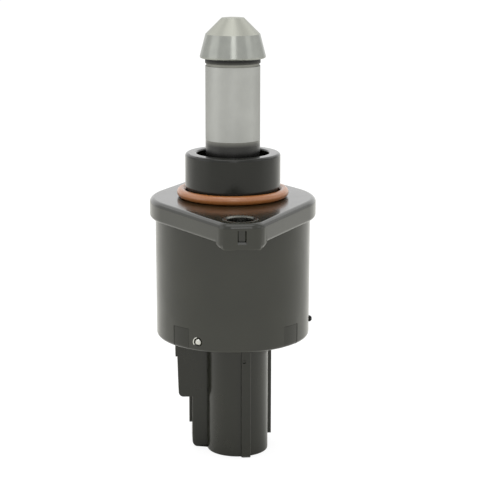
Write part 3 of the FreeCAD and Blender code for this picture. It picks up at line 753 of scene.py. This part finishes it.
def makeORing():
    low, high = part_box("o_ring")
    section = (high.z - low.z) / 2 - mm(oRing["slimmer"])
    centreRadius = high.x - section
    bm = bmesh.new()
    bmesh.ops.create_circle(bm, segments=oRing["sectionSteps"], radius=section)
    bmesh.ops.rotate(bm, verts=bm.verts, cent=(0, 0, 0), matrix=Matrix.Rotation(math.radians(90), 3, "X"))
    bmesh.ops.translate(bm, verts=bm.verts, vec=(centreRadius, 0, low.z + section))
    spinWhole(bm, oRing["steps"])
    finishPiece(bm, "o_ring_rubber", brownElastomer, bodyOf("o_ring"), ["o_ring"])


bush = {
    "boreRadius": 3.0,
    "leadInRadius": 3.55,
    "leadInDepth": 0.3,
    "leadInRound": 0.08,
    "radius": 4.0,
    "edgeRound": 0.12,
    "roundSegments": 4,
    "steps": 72,
}


def makeBush(node, name):
    low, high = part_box(node)
    foot = toMm(low.z)
    top = toMm(high.z)
    outline = [(bush["boreRadius"], foot), (bush["boreRadius"], top - bush["leadInDepth"]),
               (bush["leadInRadius"], top), (bush["radius"], top), (bush["radius"], foot)]
    bm = bmesh.new()
    verts = [bm.verts.new((mm(radius), 0, mm(height))) for radius, height in outline]
    for a, b in zip(verts, verts[1:] + verts[:1]):
        bm.edges.new((a, b))
    for corner, radius in ((verts[3], bush["edgeRound"]), (verts[2], bush["leadInRound"])):
        bmesh.ops.bevel(bm, geom=[corner], offset=mm(radius), offset_type="OFFSET",
                        segments=bush["roundSegments"], profile=0.5, affect="VERTICES",
                        clamp_overlap=True, material=-1)
    spinWhole(bm, bush["steps"])
    bmesh.ops.translate(bm, verts=bm.verts, vec=(0, (low.y + high.y) / 2, 0))
    finishPiece(bm, name, bushSteel, bodyOf(node), [node])


pinEnd = {
    "angle": -30.0,  # from the front towards +X
    "height": -31.1,
    "surface": 18.1,
    "ballRadius": 0.74,
    "ballSunk": 0.42,
    "rimRadius": 1.08,
    "rimSection": 0.13,
    "litArcStart": 95.0,  # degrees round the pin, from +X towards +Z; the bright lip is drawn only over this upper-left arc, a painted highlight where it catches the light
    "litArcEnd": 215.0,
    "rimSteps": 16,
    "rimSectionSteps": 10,
    "ballSteps": 24,
    "ballRings": 16,
}


def addPinEnd(bm):
    # the ball-shaped end and an arc of bright lip round its socket, turned to the pin's place; the arc is a
    # painted highlight, drawn only where the lip catches the light
    place = Matrix.Rotation(math.radians(pinEnd["angle"]), 4, "Z") @ Matrix.Translation(
        (0, -mm(pinEnd["surface"]), mm(pinEnd["height"])))
    ball = bmesh.ops.create_uvsphere(bm, u_segments=pinEnd["ballSteps"], v_segments=pinEnd["ballRings"],
                                     radius=mm(pinEnd["ballRadius"]))
    bmesh.ops.transform(bm, verts=ball["verts"],
                        matrix=place @ Matrix.Translation((0, mm(pinEnd["ballSunk"]), 0)))
    before = set(bm.verts)
    start = math.radians(pinEnd["litArcStart"])
    section = []
    for i in range(pinEnd["rimSectionSteps"]):
        around = 2 * math.pi * i / pinEnd["rimSectionSteps"]
        radius = pinEnd["rimRadius"] + pinEnd["rimSection"] * math.cos(around)
        depth = -pinEnd["rimSection"] * math.sin(around)
        section.append((radius * math.cos(start), depth, radius * math.sin(start)))
    sweptSolid(bm, section, (0, -1, 0), pinEnd["litArcEnd"] - pinEnd["litArcStart"], pinEnd["rimSteps"])
    bmesh.ops.transform(bm, verts=[v for v in bm.verts if v not in before], matrix=place)


def dressMetalAndRubber():
    makeBush("flange_bush_front", "flange_bush_front_steel")
    makeBush("flange_bush_rear", "flange_bush_rear_steel")
    mergedCopy("retaining_pin_1", "retaining_pin_1_steel", zincSteel, reshape=addPinEnd)
    mergedCopy("pintle_tip", "pintle_tip_metal", turnedTip, sharpAngle=20.0)
    for node, name, material in (
        ("plunger_sleeve", "plunger_sleeve_tube", satinSleeve),
        ("tip_seal", "tip_seal_rubber", shadedTipElastomer),
        ("wiper_seal", "wiper_seal_rubber", blackElastomer),
        ("cover_gasket", "cover_gasket_rubber", blackElastomer),
        # pins 2 and 3 are drawn dark, unlike pin 1
        ("retaining_pin_2", "retaining_pin_2_steel", darkPinSteel),
        ("retaining_pin_3", "retaining_pin_3_steel", darkPinSteel),
    ):
        mergedCopy(node, name, material)


def dressInside():
    inside = {
        "lead_screw": groundSteel, "bearing_outer_ring": groundSteel, "bearing_inner_ring": groundSteel,
        "bearing_balls": groundSteel, "rotor_hub": naturalNylon, "rotor_magnet": ferriteMagnet,
        "rear_bush": oiledBronze, "stator_cup_a_upper": pressedSheet, "stator_cup_a_lower": pressedSheet,
        "stator_cup_b_upper": pressedSheet, "stator_cup_b_lower": pressedSheet, "bobbin_a": naturalNylon,
        "bobbin_b": naturalNylon, "coil_a": copperTurns, "coil_b": copperTurns,
        "terminal_1": tinned, "terminal_2": tinned, "terminal_3": tinned, "terminal_4": tinned,
    }
    for node, material in inside.items():
        mesh = frame["nodes"][node].data
        mesh.materials.clear()
        mesh.materials.append(material)
        for polygon in mesh.polygons:
            polygon.material_index = 0


dressMouldings()
print("mouldings dressed")
makeORing()
dressMetalAndRubber()
print("metal and rubber dressed")
dressInside()
print("inside dressed")

bpy.context.scene.view_settings.view_transform = "Standard"
